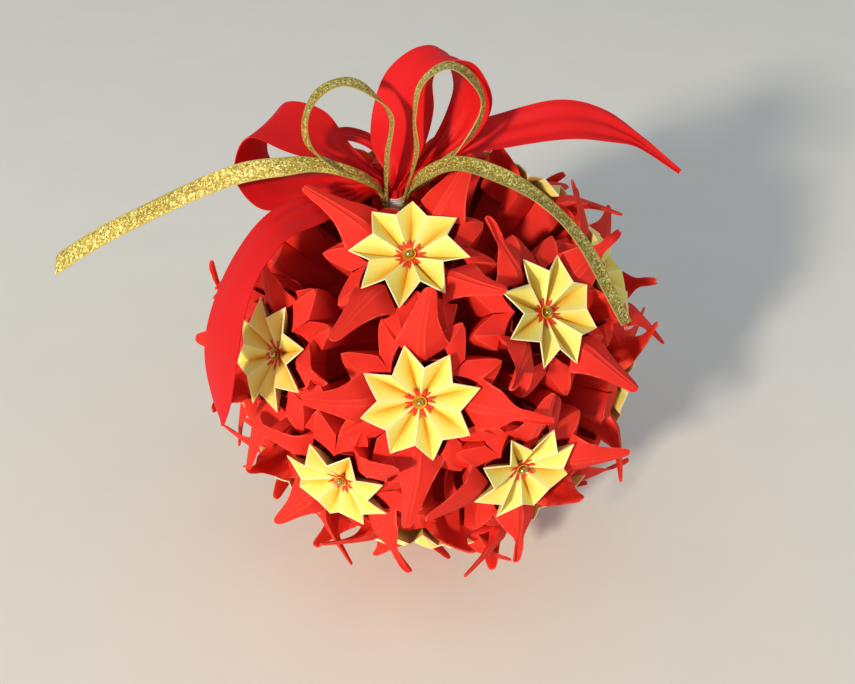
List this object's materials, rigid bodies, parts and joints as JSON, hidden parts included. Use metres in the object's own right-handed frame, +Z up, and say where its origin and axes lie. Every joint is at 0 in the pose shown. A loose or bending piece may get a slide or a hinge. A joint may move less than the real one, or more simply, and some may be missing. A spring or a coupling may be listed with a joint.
{
  "type": "kusudama paper ball",
  "caption": "Folded paper kusudama ball of red lilies with pleated yellow stars, glued trim, and a red and gold ribbon bow on top.",
  "frame": {"origin": "on the surface the ball stands on, under the middle of its box, on the tips of its three lowest lilies", "axes": "+Z up through the bow, +X to the right as seen from the front, along the two long gold tails, -Y towards the viewer"},
  "size_m": [0.2332, 0.189, 0.218],
  "materials": {
    "red_paper": "matt, folded",
    "yellow_paper": "matt, folded",
    "punched_red_paper": "matt",
    "sequin_yellow": "glossy",
    "bead_gold": "metallised, glossy",
    "red_ribbon": "fine woven",
    "gold_ribbon": "woven with metallic glitter",
    "white_thread": "twisted"
  },
  "bodies": {
    "root": {"binding_thread": "white_thread", "centre_stitching": "white_thread", "cup_sequins": "sequin_yellow", "gold_beads": "bead_gold", "gold_ribbon": "gold_ribbon", "hanging_thread": "white_thread", "punched_flowers": "punched_red_paper", "red_lily_01": "red_paper", "red_lily_02": "red_paper", "red_lily_03": "red_paper", "red_lily_04": "red_paper", "red_lily_05": "red_paper", "red_lily_06": "red_paper", "red_lily_07": "red_paper", "red_lily_08": "red_paper", "red_lily_09": "red_paper", "red_lily_10": "red_paper", "red_lily_11": "red_paper", "red_lily_12": "red_paper", "red_lily_13": "red_paper", "red_lily_14": "red_paper", "red_lily_15": "red_paper", "red_lily_16": "red_paper", "red_lily_17": "red_paper", "red_lily_18": "red_paper", "red_lily_19": "red_paper", "red_lily_20": "red_paper", "red_lily_21": "red_paper", "red_lily_22": "red_paper", "red_lily_23": "red_paper", "red_lily_24": "red_paper", "red_lily_25": "red_paper", "red_ribbon": "red_ribbon", "yellow_star_01": "yellow_paper", "yellow_star_02": "yellow_paper", "yellow_star_03": "yellow_paper", "yellow_star_04": "yellow_paper", "yellow_star_05": "yellow_paper", "yellow_star_06": "yellow_paper", "yellow_star_07": "yellow_paper", "yellow_star_08": "yellow_paper", "yellow_star_09": "yellow_paper", "yellow_star_10": "yellow_paper", "yellow_star_11": "yellow_paper", "yellow_star_12": "yellow_paper", "yellow_star_13": "yellow_paper", "yellow_star_14": "yellow_paper", "yellow_star_15": "yellow_paper", "yellow_star_16": "yellow_paper", "yellow_star_17": "yellow_paper", "yellow_star_18": "yellow_paper", "yellow_star_19": "yellow_paper", "yellow_star_20": "yellow_paper", "yellow_star_21": "yellow_paper", "yellow_star_22": "yellow_paper", "yellow_star_23": "yellow_paper", "yellow_star_24": "yellow_paper", "yellow_star_25": "yellow_paper"}
  },
  "joints": []
}
